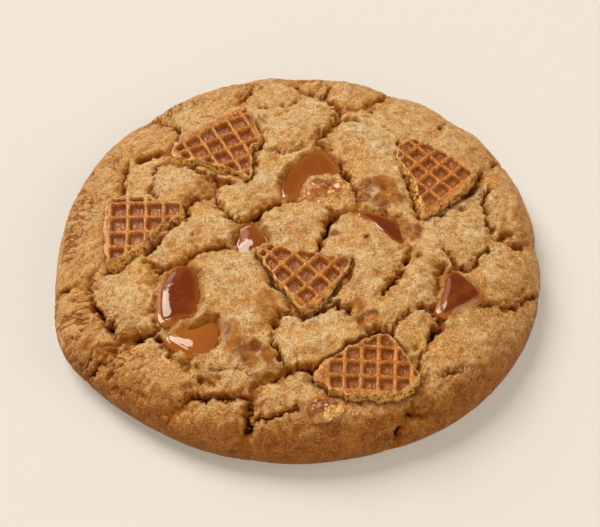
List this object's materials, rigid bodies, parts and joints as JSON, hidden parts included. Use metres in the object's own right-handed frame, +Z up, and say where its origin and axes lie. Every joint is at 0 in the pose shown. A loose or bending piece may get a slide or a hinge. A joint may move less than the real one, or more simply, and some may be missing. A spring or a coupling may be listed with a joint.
{
  "type": "soft-baked stroopwafel cookie",
  "caption": "Round soft-baked cookie with a cracked top, topped with broken stroopwafel pieces and glossy caramel.",
  "frame": {"origin": "centre of the flat base that the cookie rests on", "axes": "+Z up through the cookie's thickness; -Y towards the front edge with the front wafer piece and the front caramel chunk; +X to the right seen from the front"},
  "size_m": [0.1085, 0.1096, 0.0205],
  "materials": {
    "dough": "baked cookie dough, dry and grainy",
    "wafer": "baked waffle, slightly glossy in the wells",
    "caramel": "wet glossy caramel",
    "caramel_chunk": "glossy lumpy caramel"
  },
  "bodies": {
    "root": {"dough": "dough", "wafer_back_left": "wafer", "wafer_left": "wafer", "wafer_centre": "wafer", "wafer_right": "wafer", "wafer_front": "wafer", "caramel_left": "caramel", "caramel_lower_left": "caramel", "caramel_right": "caramel", "caramel_back": "caramel", "caramel_mid_right": "caramel", "caramel_mid_left": "caramel", "chunk_back": "caramel_chunk", "chunk_front": "caramel_chunk"}
  },
  "joints": []
}
